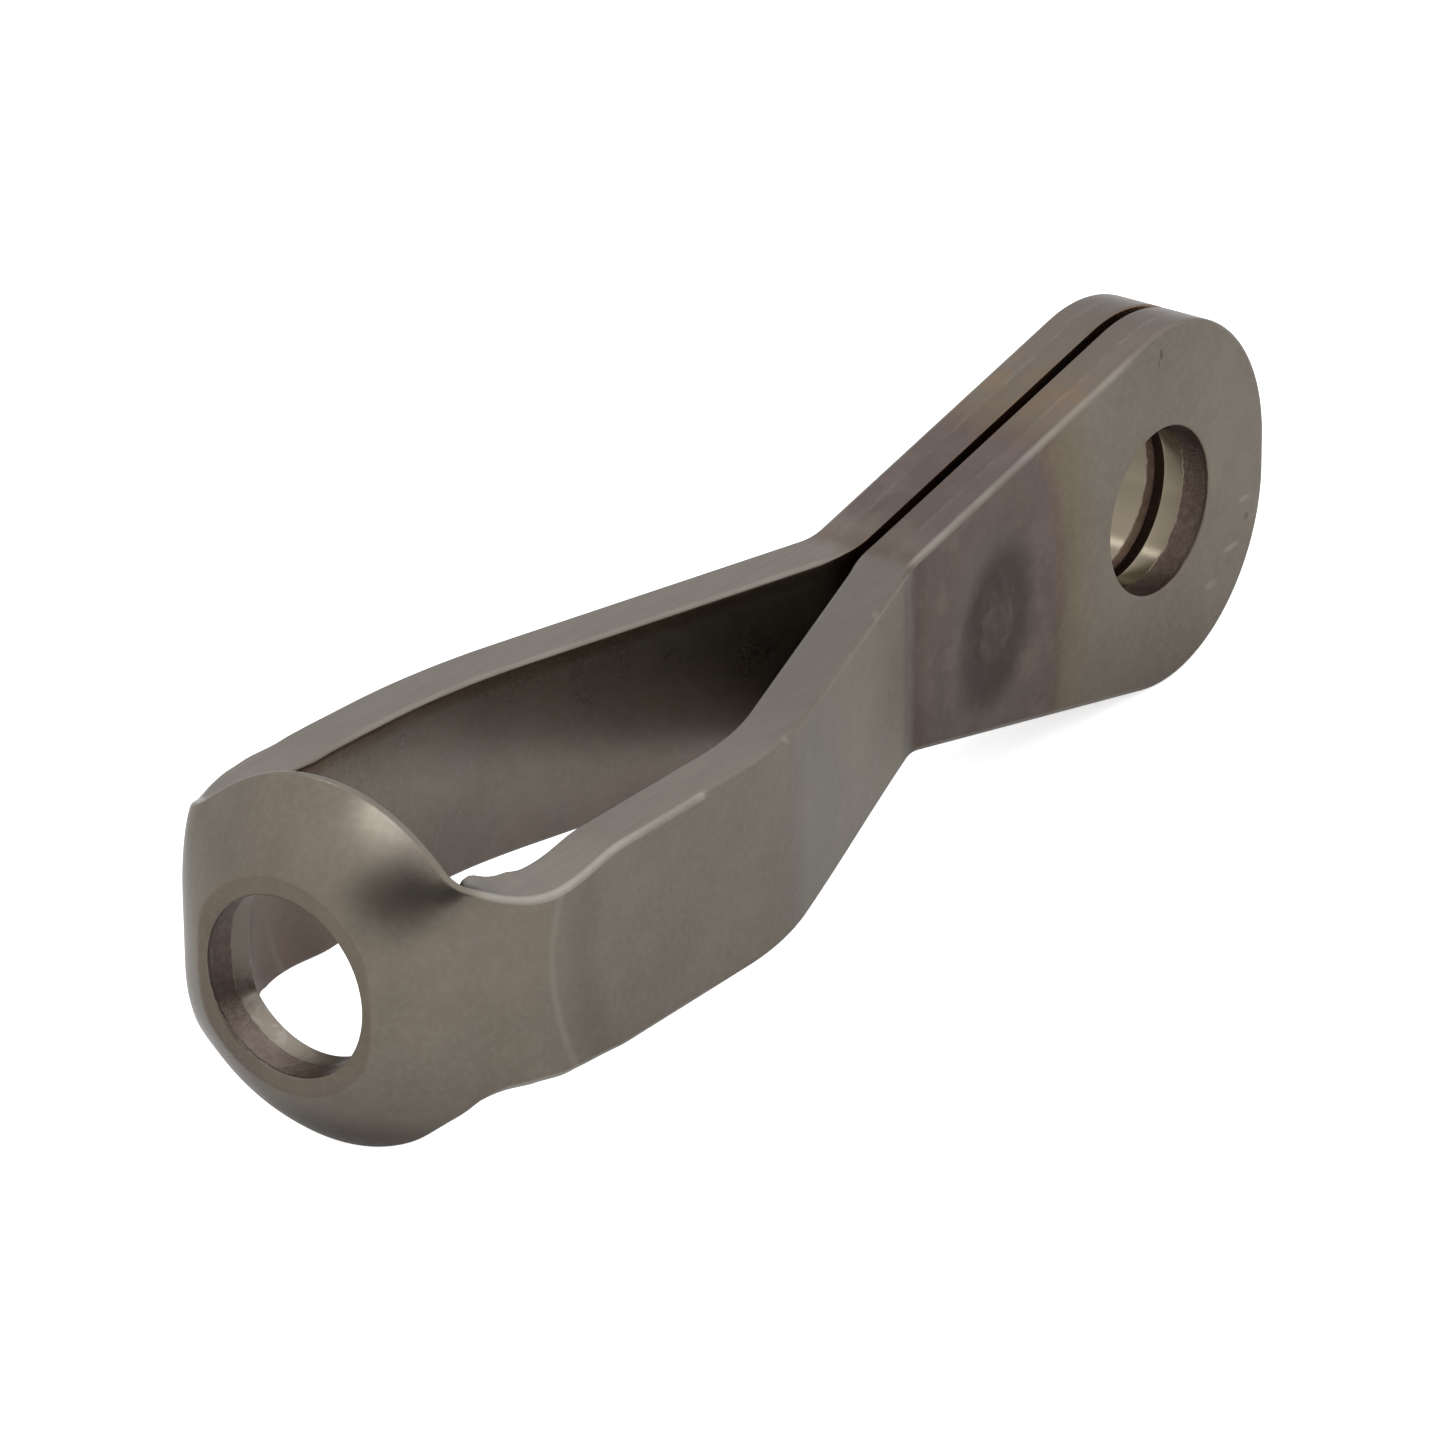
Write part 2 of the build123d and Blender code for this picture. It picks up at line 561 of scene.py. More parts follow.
def closed_outline(upper):
    """The outer skin's border as one closed loop: far ear to far top, near top to near
    ear, and back below. With its points and normals comes the way out of the sheet, the
    cross product of the loop's direction and the normal."""
    loop_points = []
    loop_normals = []
    for name, up, order in (("far", 1, -1), ("near", 1, 1), ("near", -1, -1), ("far", -1, 1)):
        points, normals = upper[name]
        flip = np.array([1, 1, up])
        loop_points.append((points * flip)[::order][:-1])
        loop_normals.append((normals * flip)[::order][:-1])
    points = np.concatenate(loop_points)
    normals = np.concatenate(loop_normals)
    along = np.roll(points, -1, 0) - np.roll(points, 1, 0)
    outward = unit(np.cross(along, normals))
    outward *= np.sign(outward[len(upper["far"][0]) - 1, 0])
    return points, normals, outward


def add_outline(skin, upper):
    """The cut edge all round the sheet. Its inner corner is rounder on the legs than on
    the ears, and its wall swells where the strip is wrapped."""
    points, normals, outward = closed_outline(upper)
    x = points[:, 0]
    on_ears = smooth_step(x, ear_fold_x - 1.5, ear_fold_x)
    burr = leg_burr + (ear_burr - leg_burr) * on_ears
    inner_wear = inner_rubbing * (1 - on_ears) * smooth_step(x, *inner_rubbing_run)
    swell = wrap_swell * smooth_step(x, *swell_rise) * (1 - smooth_step(x, *swell_fall))
    inner_points = points - sheet * normals
    sizes = (outline_inset, outline_edge, burr)
    add_band(skin, points, outward, inner_points, sizes, outline_wear(x), inner_wear, swell=swell)


def root_sections(top, side):
    """Sections between the head's border and the neck, one for each point of the top
    edge. They turn from arcs round the dome's centre to upright lines: a ray from the
    centre is a blend of both, and the point is where it leaves the head."""
    tilt, turn = tilt_and_turn(top * np.array([1, side, 1]))
    across = np.linspace(1, -1, across_strap)
    arcs = from_dome_centre(tilt[:, None], turn[:, None] * across)
    uprights = beside_head(top[:, :1], top[:, 2:] * across, 1)
    share = smooth_step(np.linspace(0, 1, len(top) + 1)[:-1, None, None], 0, 1)
    rays = unit((1 - share) * arcs + share * unit(uprights - dome_centre))
    root = on_head(rays) * np.array([1, side, 1])
    root[:, 0] = top
    root[:, -1] = top * mirror_z
    return root


def add_leg(skin, top, side, folds):
    """A leg from the head's border to the ear's seam: the root's sections and the
    straight ones as an outer skin, and the same less the sheet along the normals as an
    inner skin. Returns the first and the last section."""
    x = leg_stations()
    leg, leg_normals = leg_skin(x[:, None], strap_columns(x, half_width(x)), side, folds)
    root = root_sections(top, side)
    points = np.concatenate([root, leg])
    normals = np.concatenate([head_normals(root), leg_normals])
    skin.add(weld_press(points, normals, side))
    skin.add(points - sheet * normals, depth=1.0)
    return root[0], leg[-1]


def add_ear(skin, top_edge, seam_line, side, torn_share):
    """An ear as rings from the eye out to the outline and the seam. Along each ray from
    the eye's centre they are evenly spaced. The eye's wall joins the two skins."""
    rim = np.concatenate([top_edge, (top_edge * mirror_z)[::-1][1:], seam_line[::-1]])
    border_radius = np.hypot(rim[:, 0], rim[:, 2])
    inner_radius = eye_radius + hole_inset
    share = np.linspace(0, 1, ear_rings + 1)[:, None]
    radius = inner_radius + share * (border_radius - inner_radius)
    x = rim[:, 0] / border_radius * radius
    z = rim[:, 2] / border_radius * radius
    ear, normals = leg_skin(x, z, side, ())
    inner = ear - sheet * normals
    for grid, depth in ((weld_press(ear, normals, side), 0.0), (inner, 1.0)):
        skin.add(np.swapaxes(grid, 0, 1), True, depth=depth)
    towards_pin = -unit(ear[0] * np.array([1, 0, 1]))
    add_band(skin, ear[0], towards_pin, inner[0], hole_sizes, torn_share=torn_share)


def add_head(skin, upper, borders):
    """The head as rings from the stud hole out to the rim and the two roots. Seen from
    the dome's centre they are evenly spaced in tilt. The hole's wall joins the skins."""
    far_top, near_top = (upper[name][0][: split + 1] for name in ("far", "near"))
    border = np.concatenate([
        far_top[::-1][:-1],
        near_top[:-1],
        borders["near"][:-1],
        (near_top * mirror_z)[::-1][:-1],
        (far_top * mirror_z)[:-1],
        borders["far"][::-1][:-1],
    ])
    border_tilt, border_turn = tilt_and_turn(border)
    share = np.linspace(0, 1, head_rings + 1)
    hole = stud_radius + hole_inset
    outer_start = math.atan2(hole, dome_centre_x - coined_x)
    inner_start = math.asin(hole / (dome_radius - sheet))
    rims = []
    for start_tilt, thickness in ((outer_start, 0.0), (inner_start, sheet)):
        tilt = start_tilt + share * (border_tilt[:, None] - start_tilt)
        surface = on_head(from_dome_centre(tilt, border_turn[:, None]))
        surface[:, -1] = border
        surface -= thickness * head_normals(surface)
        skin.add(surface, True, depth=thickness / sheet)
        rims.append(surface[:, 0])
    mouth, throat = rims
    towards_stud = -unit(mouth * np.array([0, 1, 1]))
    add_band(skin, mouth, towards_stud, throat, hole_sizes, torn_share=stud_torn_share)


def build_strap():
    """The whole sheet as one skin: its outline, two legs, two ears and the head. Each
    leg's upper outline is worked out once, and the lower one is the same with z turned."""
    skin = Skin()
    sides = {"near": (-1, near_folds), "far": (1, far_folds)}
    upper = {name: half_outline(*sides[name]) for name in sides}
    add_outline(skin, upper)
    borders = {}
    for name, (side, folds) in sides.items():
        edge_points = upper[name][0]
        borders[name], seam_section = add_leg(skin, edge_points[split:neck], side, folds)
        add_ear(skin, edge_points[seam:], seam_section[1:-1], side, eye_torn_share[name])
    add_head(skin, upper, borders)
    return skin


def mesh_object(name, skin):
    """One object from gathered grids, its borders lifted: border points are merged and
    faces turned outwards."""
    points = settle(np.concatenate(skin.points)) * MM
    faces = np.concatenate(skin.faces)
    mesh = bpy.data.meshes.new(name)
    mesh.vertices.add(len(points))
    mesh.vertices.foreach_set("co", points.astype(np.float32).ravel())
    mesh.loops.add(faces.size)
    mesh.loops.foreach_set("vertex_index", faces.astype(np.int32).ravel())
    mesh.polygons.add(len(faces))
    mesh.polygons.foreach_set("loop_start", np.arange(0, faces.size, 4, dtype=np.int32))
    for mask in skin.masks:
        attribute = mesh.attributes.new(mask, "FLOAT", "POINT")
        attribute.data.foreach_set("value", np.concatenate(skin.values[mask]).astype(np.float32))
    mesh.update()
    mesh.validate()
    soft = bmesh.new()
    soft.from_mesh(mesh)
    bmesh.ops.remove_doubles(soft, verts=soft.verts, dist=merge_distance * MM)
    bmesh.ops.recalc_face_normals(soft, faces=soft.faces)
    open_edges = sum(not edge.is_manifold for edge in soft.edges)
    print(name, "faces", len(soft.faces), "open edges", open_edges)
    soft.to_mesh(mesh)
    soft.free()
    mesh.shade_smooth()
    piece = bpy.data.objects.new(name, mesh)
    bpy.context.scene.collection.objects.link(piece)
    return piece


def build_nugget():
    """The weld's nugget between the ears: a waisted profile turned round the weld's
    axis, its ends just inside the two sheets and closed by a ring shrunk to a point."""
    across = np.linspace(-1, 1, nugget_sections)
    reach = 0.5 * ear_gap + nugget_overlap
    radius = weld_radius - nugget_waist * (1 - across**2)
    radius = np.concatenate([[0.0, 0.5 * weld_radius], radius, [0.5 * weld_radius, 0.0]])
    y = reach * np.concatenate([[-1, -1], across, [1, 1]])
    turn = np.linspace(0, 2 * math.pi, circle_sides, endpoint=False)[:, None]
    x = weld_x + radius * np.cos(turn)
    z = weld_z + radius * np.sin(turn)
    skin = Skin()
    skin.add(np.stack([x, y + 0 * x, z], -1), True, wall=1.0, depth=0.5)
    return skin


class Finish:
    """A node material under construction. Vectors are the piece's own coordinates in
    millimetres, and each method adds one node or a few and returns the last output."""

    def __init__(self, name):
        self.material = bpy.data.materials.new(name)
        self.material.use_nodes = True
        self.tree = self.material.node_tree
        self.shader = self.tree.nodes["Principled BSDF"]
        place = self.tree.nodes.new("ShaderNodeTexCoord").outputs["Object"]
        self.place = self.scaled(place, (1 / MM, 1 / MM, 1 / MM))

    def feed(self, socket, value):
        """Links an output to an input, or sets the input to a plain value."""
        if isinstance(value, bpy.types.NodeSocket):
            self.tree.links.new(value, socket)
        elif socket.type == "RGBA":
            socket.default_value = (*value, 1)
        else:
            socket.default_value = value

    def scaled(self, vector, scale, offset=(0, 0, 0)):
        """The vector times a scale, plus an offset."""
        node = self.tree.nodes.new("ShaderNodeMapping")
        self.feed(node.inputs["Vector"], vector)
        node.inputs["Scale"].default_value = scale
        node.inputs["Location"].default_value = offset
        return node.outputs["Vector"]

    def mask(self, name):
        """One of the mesh's finish masks."""
        node = self.tree.nodes.new("ShaderNodeAttribute")
        node.attribute_name = name
        return node.outputs["Fac"]

    def noise(self, size, detail=3.0, roughness=0.55, stretch=(1, 1, 1), offset=(0, 0, 0)):
        """Cloudy noise whose blots are about one size across, in millimetres."""
        node = self.tree.nodes.new("ShaderNodeTexNoise")
        self.feed(node.inputs["Vector"], self.scaled(self.place, stretch, offset))
        node.inputs["Scale"].default_value = 1 / size
        node.inputs["Detail"].default_value = detail
        node.inputs["Roughness"].default_value = roughness
        return node.outputs["Fac"]

    def maths(self, operation, *values):
        """One operation on outputs and plain numbers."""
        node = self.tree.nodes.new("ShaderNodeMath")
        node.operation = operation
        for socket, value in zip(node.inputs, values):
            self.feed(socket, value)
        return node.outputs[0]

    def between(self, value, start, end, low=0.0, high=1.0):
        """Low before the start, high after the end, and a smooth step between."""
        node = self.tree.nodes.new("ShaderNodeMapRange")
        node.interpolation_type = "SMOOTHSTEP"
        self.feed(node.inputs["Value"], value)
        limits = (("From Min", start), ("From Max", end), ("To Min", low), ("To Max", high))
        for name, limit in limits:
            node.inputs[name].default_value = limit
        return node.outputs["Result"]

    def falling(self, value, start, end):
        """1 before the start, 0 after the end, and a smooth step between."""
        return self.between(value, start, end, 1.0, 0.0)

    def blend(self, share, first, second, kind="MIX"):
        """A colour between two colours, or a tint laid on the first."""
        node = self.tree.nodes.new("ShaderNodeMix")
        node.data_type = "RGBA"
        node.blend_type = kind
        self.feed(node.inputs[0], share)
        self.feed(node.inputs[6], first)
        self.feed(node.inputs[7], second)
        return node.outputs[2]

    def colours(self, value, stops):
        """A colour ramp through (place, colour) stops."""
        node = self.tree.nodes.new("ShaderNodeValToRGB")
        self.feed(node.inputs["Fac"], value)
        elements = node.color_ramp.elements
        elements[0].position = stops[0][0]
        elements[0].color = (*stops[0][1], 1)
        elements[1].position = stops[-1][0]
        elements[1].color = (*stops[-1][1], 1)
        for place, colour in stops[1:-1]:
            elements.new(place).color = (*colour, 1)
        return node.outputs["Color"]

    def times(self, total, *factors):
        """The product of all values."""
        for factor in factors:
            total = self.maths("MULTIPLY", total, factor)
        return total

    def plus(self, first, second):
        """The sum of two values."""
        return self.maths("ADD", first, second)

    def less(self, first, second):
        """The first value less the second."""
        return self.maths("SUBTRACT", first, second)

    def tinted(self, share, colour, tint):
        """The colour multiplied by a tint, as far as the share goes."""
        return self.blend(share, colour, tint, "MULTIPLY")

    def bell(self, value, middle, width):
        """1 at the middle, and 0 from one width away on either side."""
        away = self.maths("ABSOLUTE", self.less(value, middle))
        return self.falling(away, 0.0, width)

    def shifted(self, value, noise, width):
        """The value moved by noise, by half the width at most either way."""
        return self.plus(value, self.times(self.less(noise, 0.5), width))

    def length(self, first, second):
        """Length of the sloping side over two upright ones."""
        return self.maths("SQRT", self.plus(self.times(first, first), self.times(second, second)))

    def axes(self):
        """X, Y and Z of the piece's coordinates, in millimetres."""
        node = self.tree.nodes.new("ShaderNodeSeparateXYZ")
        self.feed(node.inputs[0], self.place)
        return node.outputs["X"], node.outputs["Y"], node.outputs["Z"]

    def relief(self, heights):
        """Bump from (height, millimetres) pairs added together."""
        total = None
        for height, depth in heights:
            part = self.times(height, depth)
            total = part if total is None else self.plus(total, part)
        node = self.tree.nodes.new("ShaderNodeBump")
        node.inputs["Distance"].default_value = MM
        self.feed(node.inputs["Height"], total)
        return node.outputs["Normal"]


# reflectances, written as they show in the plain studio light
steel_dark = (0.146, 0.126, 0.101)
steel_light = (0.175, 0.151, 0.121)
steel_violet = (0.162, 0.141, 0.124)
grain_light = (0.205, 0.182, 0.150)
cut_dark = (0.190, 0.170, 0.150)
cut_light = (0.212, 0.190, 0.168)
rubbed_steel = (0.34, 0.32, 0.285)
torn_steel = (0.162, 0.125, 0.106)
torn_light = (0.196, 0.162, 0.139)
smeared_steel = (0.206, 0.174, 0.128)
smeared_in_stud = (0.250, 0.218, 0.182)
mark_dark = (0.060, 0.050, 0.045)
mark_light = (0.270, 0.245, 0.215)

# tints that a surface is multiplied by, each where its name says
# painted light and shade on the inner skin: lighter going up and in the ears' gap, painted shade by the
# head
inside_low_painted_light = (1.04, 1.00, 1.06)
inside_high_painted_light = (1.66, 1.74, 1.84)
inside_head_painted_shade = (0.95, 0.86, 0.83)
inside_gap_painted_light = (2.30, 2.05, 1.90)
cut_near_leg = (0.85, 0.85, 0.83)
cut_near_slant = (0.68, 0.68, 0.67)
cut_far_leg = (0.90, 0.90, 0.90)
cut_heat = (0.73, 0.68, 0.67)
cut_straw = (1.14, 1.02, 0.84)
# painted light on the slanted legs' outer skin
slant_painted_light = (1.41, 1.43, 1.36)
valley_shade = (0.84, 0.83, 0.83)
tool_shade = (0.86, 0.86, 0.86)
heat_patch = (1.16, 1.17, 1.17)
eye_shade = (0.84, 0.77, 0.76)
rim_brown = (0.62, 0.56, 0.48)
low_shade = (1.05, 1.05, 1.05)
nose_shade = (0.82, 0.79, 0.77)
# painted shade under the head
under_head_painted_shade = (0.60, 0.52, 0.50)
border_brown = (0.78, 0.70, 0.63)
fold_brown = (0.86, 0.78, 0.74)
scorched = (0.52, 0.52, 0.53)
grazing_tint = (0.74, 0.74, 0.74)

# about how large the blots of each noise are, in millimetres
cloud_size = 6.0
violet_size = 4.0
mottle_size = 1.1
grain_size = 0.32
streak_size = 0.3
tear_size = 0.5
fleck_size = 0.9
wander_size = 2.6
patch_size = 1.9
wear_size = 2.2
pit_size = 0.25
ripple_size = 0.7

# heights of the fine relief, in millimetres
cloud_relief = 0.01
mottle_relief = 0.0015
pit_relief = 0.03
ripple_relief = 0.05

# where a tint changes: start and end of the change, along X for a run and Z for a rise
inside_rise = (-4.5, 3.0)
inside_head_run = (-53.0, -44.0)
slant_run = (-37.0, -24.0)
under_head_rise = (-7.8, -5.2)
under_head_run = (-56.0, -53.0)
brown_border_run = (-52.5, -51.0)
leg_cut_run = (-53.0, -49.0)
near_slant_run = (-42.0, -33.0)
stud_hole_run = (-50.0, -45.0)
eye_run = (-10.0, -8.0)
low_in_stud_rise = (-3.9, -2.4)
# the painted glints low in the stud hole fade out over this rise
painted_glint_rise = (-0.6, 0.4)

# the straw tint on the ears' cut faces, and the line and band where the tool ended
straw_x = -6.0
straw_width = 3.4
tool_line_x = -54.2
tool_line_width = 0.36
tool_line_z = 0.6
tool_line_bow = -0.055
tool_band_x = -52.2
tool_band_width = 1.9

# the scorched oval round the weld and the pale island in it: the middle's height, the
# half axes, and how far they lean over
heat_z = -0.9
heat_half_wide = 2.75
heat_half_high = 3.8
heat_lean = 0.19
island_half_wide = 1.5
island_half_high = 2.0

# heat tints by distance from the weld, as a share of how far they reach
heat_reach = 8.0
heat_colours = (
    (0.00, (0.64, 0.60, 0.64)),
    (0.42, (0.66, 0.60, 0.64)),
    (0.52, (0.68, 0.59, 0.66)),
    (0.60, (0.75, 0.64, 0.60)),
    (0.67, (0.88, 0.80, 0.72)),
    (0.80, (0.98, 0.93, 0.85)),
    (0.92, (1.00, 0.98, 0.95)),
    (1.00, (1.00, 1.00, 1.00)),
)

# small marks on the near ear: where in (x, z), half width and height, colour, strength
ear_marks = (
    ((-0.08, 7.80), (0.13, 0.28), mark_dark, 0.75),
    ((-0.24, 7.38), (0.06, 0.24), mark_dark, 0.6),
    ((7.17, -2.86), (0.22, 0.20), mark_dark, 0.45),
    ((6.95, -1.90), (0.50, 0.16), mark_light, 0.5),
    ((5.95, -3.95), (0.65, 0.18), mark_light, 0.45),
    ((4.30, -5.25), (0.50, 0.22), mark_light, 0.35),
)


class TumbledSteel(Finish):
    """Stainless sheet after tumbling: a warm satin grey, faintly clouded and finely
    grained, bright where corners are rubbed, torn dark and smeared smooth in the
    punched holes, and tinted by heat round the weld. Painted light and shade lie on the
    inner and outer skins, and painted glints low in the stud hole. The methods that take
    a colour each lay one layer on it."""

    def __init__(self):
        super().__init__("tumbled_steel")
        self.x, self.y, self.z = self.axes()
        self.clouds = self.noise(cloud_size, 2.0, 0.5)
        self.mottle = self.noise(mottle_size, 2.0, 0.55)
        self.wall = self.mask("wall")
        self.depth = self.mask("depth")
        self.inside = self.between(self.depth, 0.97, 1.0)
        self.near = self.falling(self.y, -2.5, -2.0)
        face_x = self.shifted(self.x, self.mottle, 0.6)
        self.on_ear = self.between(face_x, ear_fold_x - 0.6, ear_fold_x + 0.3)
        cut_x = self.shifted(self.x, self.mottle, 1.2)
        self.on_ear_cut = self.between(cut_x, ear_fold_x - 0.8, ear_fold_x + 3.2)

        # punched walls: how far beyond the tear a point lies, and where the wall is torn
        torn_share = self.mask("torn")
        self.in_hole = self.times(self.wall, self.between(torn_share, 0.02, 0.1))
        self.in_stud = self.falling(self.x, *stud_hole_run)
        self.ragged = self.noise(tear_size, 3.0, 0.6)
        self.ragged_depth = self.shifted(self.depth, self.ragged, 0.1)
        self.past_tear = self.less(self.ragged_depth, torn_share)
        in_far_ear = self.times(self.between(self.y, 0.0, 0.2), self.between(self.x, *eye_run))
        self.far_rim = self.times(self.between(self.ragged_depth, 0.80, 0.85), in_far_ear)
        self.torn = self.maths("MAXIMUM", self.falling(self.past_tear, -0.02, 0.02), self.far_rim)

        # round the weld: distances across and up, the leaning one, and the pale island
        self.wander = self.noise(wander_size, 4.0, 0.55)
        self.to_eye = self.less(self.x, weld_x)
        self.above = self.less(self.z, heat_z)
        leaning = self.plus(self.to_eye, self.times(self.z, -heat_lean))
        self.slanted = self.shifted(leaning, self.wander, 1.0)
        island = self.shifted(self.oval(island_half_wide, island_half_high), self.mottle, 1.2)
        self.island = self.falling(island, 0.6, 1.0)

    def oval(self, half_wide, half_high):
        """1 on a leaning oval round the heat's middle, less inside it and more outside."""
        across = self.times(self.slanted, 1 / half_wide)
        return self.length(across, self.times(self.above, 1 / half_high))

    def plain_sheet(self):
        """Clouds, a violet cast, mottle and grain over one another."""
        colour = self.blend(self.between(self.clouds, 0.35, 0.65), steel_dark, steel_light)
        hue = self.noise(violet_size, 2.0, 0.5, offset=(7, 3, 5))
        colour = self.blend(self.between(hue, 0.45, 0.65, 0.0, 0.35), colour, steel_violet)
        colour = self.blend(self.between(self.mottle, 0.35, 0.65, 0.0, 0.35), colour, steel_dark)
        grain = self.noise(grain_size, 1.0, 0.5)
        return self.blend(self.between(grain, 0.35, 0.75, 0.0, 0.25), colour, grain_light)

    def inner_skin_painted_light(self, colour):
        """Painted light and shade on the inner skin: lighter high up and in the ears' gap, and painted
        shade by the head.
        """
        by_height = self.blend(self.between(self.z, *inside_rise), inside_low_painted_light, inside_high_painted_light)
        in_gap = self.between(self.x, ear_fold_x - 1.0, ear_fold_x)
        colour = self.tinted(self.inside, colour, self.blend(in_gap, by_height, inside_gap_painted_light))
        by_head = self.times(self.inside, self.falling(self.x, *inside_head_run))
        return self.tinted(by_head, colour, inside_head_painted_shade)

    def outer_skin_painted_light(self, colour):
        """Painted light and shade on the outer skin: lighter slants, and a darker valley of the fold
        to the ears, coined nose and underside of the head, as painted shade."""
        on_slant = self.times(
            self.between(self.x, *slant_run),
            self.falling(self.depth, 0.0, 0.005),
            self.falling(self.x, ear_fold_x - 1.6, ear_fold_x - 0.2),
        )
        colour = self.tinted(on_slant, colour, slant_painted_light)
        valley = self.bell(self.shifted(self.x, self.mottle, 0.6), ear_fold_x - 0.5, 1.3)
        colour = self.tinted(valley, colour, valley_shade)
        on_nose = self.falling(self.x, coined_x + 0.01, coined_x + 0.08)
        colour = self.tinted(on_nose, colour, nose_shade)
        under = self.times(self.falling(self.z, *under_head_rise), self.falling(self.x, *under_head_run))
        return self.tinted(under, colour, under_head_painted_shade)

    def tool_mark(self, colour):
        """The line where the forming tool ended, bowed by the square of the height off
        its middle, and the slightly darker band beside it."""
        off_middle = self.less(self.z, tool_line_z)
        bowed = self.times(off_middle, off_middle, tool_line_bow)
        tool_x = self.plus(self.shifted(self.x, self.clouds, 0.6), bowed)
        line = self.times(self.bell(tool_x, tool_line_x, tool_line_width), 0.7)
        colour = self.blend(line, colour, grain_light)
        return self.tinted(self.bell(tool_x, tool_band_x, tool_band_width), colour, tool_shade)

    def brown_border(self, colour):
        """The inner skin is browner along the legs' upper border."""
        border_z = self.shifted(self.z, self.mottle, 0.3)
        border = self.between(border_z, strap_half - 1.05, strap_half - 0.5)
        border = self.times(border, self.inside, self.between(self.x, *brown_border_run))
        return self.tinted(border, colour, border_brown)

    def cut_faces(self, colour):
        """Cut faces: plain on the legs; on the ears browner, darker in their inner half,
        and with a broken light line between the halves."""
        depth = self.shifted(self.depth, self.noise(0.8, 3.0), 0.12)
        streaks = self.noise(streak_size, 3.0, 0.6, stretch=(0.1, 1, 0.3))
        cut = self.blend(self.between(streaks, 0.3, 0.7), cut_dark, cut_light)
        inner = self.times(self.between(depth, 0.44, 0.56), self.on_ear)
        cut = self.blend(self.times(inner, 0.3), cut, steel_dark)
        broken = self.between(self.noise(fleck_size, 3.0, 0.6), 0.42, 0.62)
        line = self.times(self.bell(depth, 0.49, 0.06), broken, self.on_ear, 0.3)
        cut = self.blend(line, cut, rubbed_steel)
        on_legs = self.times(self.between(self.x, *leg_cut_run), self.less(1.0, self.on_ear_cut))
        near_tint = self.blend(self.between(self.x, *near_slant_run), cut_near_leg, cut_near_slant)
        cut_tint = self.blend(self.between(self.y, -1.0, 1.0), near_tint, cut_far_leg)
        cut = self.tinted(on_legs, cut, cut_tint)
        cut = self.tinted(self.on_ear_cut, cut, cut_heat)
        straw = self.times(self.bell(self.x, straw_x, straw_width), self.between(self.mottle, 0.35, 0.6))
        cut = self.tinted(straw, cut, cut_straw)
        return self.blend(self.times(self.wall, 0.9), colour, cut)

    def weld_heat(self, colour):
        """Heat round the weld. Its colours follow the distance, of which half counts
        towards the legs and less than half up and down, and they stop at the fold."""
        aside = self.maths("MAXIMUM", self.to_eye, self.times(self.to_eye, -0.5))
        reach = self.shifted(self.length(aside, self.times(self.above, 0.45)), self.wander, 1.3)
        tint = self.colours(self.times(reach, 1 / heat_reach), heat_colours)
        dark_oval = self.falling(self.oval(heat_half_wide, heat_half_high), 0.7, 1.25)
        tint = self.tinted(self.less(dark_oval, self.times(self.island, 0.35)), tint, scorched)
        blots = self.between(self.noise(patch_size, 4.0, 0.6, offset=(2, 9, 4)), 0.48, 0.62)
        tint = self.tinted(self.times(blots, self.falling(reach, 4.0, 5.5)), tint, heat_patch)
        on_face = self.times(self.on_ear, self.less(1.0, self.wall))
        on_cut = self.times(self.on_ear_cut, self.wall, 0.7)
        colour = self.tinted(self.plus(on_face, on_cut), colour, tint)
        at_fold = self.bell(self.shifted(self.x, self.mottle, 0.7), ear_fold_x + 0.3, 1.2)
        return self.tinted(at_fold, colour, fold_brown)

    def small_marks(self, colour):
        """Small ragged marks on the near ear."""
        for (mark_x, mark_z), (wide, high), mark_colour, strength in ear_marks:
            across = self.times(self.less(self.x, mark_x), 1 / wide)
            along = self.times(self.less(self.z, mark_z), 1 / high)
            away = self.shifted(self.length(across, along), self.mottle, 0.8)
            spot = self.times(self.between(away, 0.5, 1.3, strength, 0.0), self.near)
            colour = self.blend(spot, colour, mark_colour)
        return colour

    def punched_holes(self, colour):
        """Punched walls: torn from the outer face inwards and smeared smooth beyond, with
        a brown rim by the gap on the far ear and painted glints low in the stud hole, as bright specks."""
        rough_tear = self.blend(self.between(self.ragged, 0.4, 0.65), torn_steel, torn_light)
        rough_tear = self.tinted(self.between(self.x, *stud_hole_run), rough_tear, eye_shade)
        smeared = self.blend(self.in_stud, smeared_steel, smeared_in_stud)
        hole = self.blend(self.torn, smeared, rough_tear)
        low_in_stud = self.times(self.in_stud, self.falling(self.z, *low_in_stud_rise))
        hole = self.tinted(low_in_stud, hole, low_shade)
        hole = self.tinted(self.far_rim, hole, rim_brown)
        at_mouth = self.falling(self.ragged_depth, 0.06, 0.1)
        at_mouth = self.times(at_mouth, self.between(self.ragged, 0.35, 0.6), 0.7)
        hole = self.blend(at_mouth, hole, mark_dark)
        # painted glints: bright specks low on the stud hole's wall
        painted_glints = self.between(self.noise(fleck_size, 4.0, 0.65), 0.5, 0.6)
        painted_glints = self.times(painted_glints, self.falling(self.z, *painted_glint_rise), self.in_stud)
        painted_glints = self.times(painted_glints, self.between(self.past_tear, -0.04, 0.08), 0.6)
        hole = self.blend(painted_glints, hole, rubbed_steel)
        return self.blend(self.in_hole, colour, hole)

    def rubbed_corners(self, colour):
        """Bare bright metal on the corners, a little uneven."""
        wear = self.between(self.noise(wear_size, 3.0, 0.5), 0.35, 0.6, 0.7, 1.0)
        return self.blend(self.times(self.mask("edge"), wear), colour, rubbed_steel)

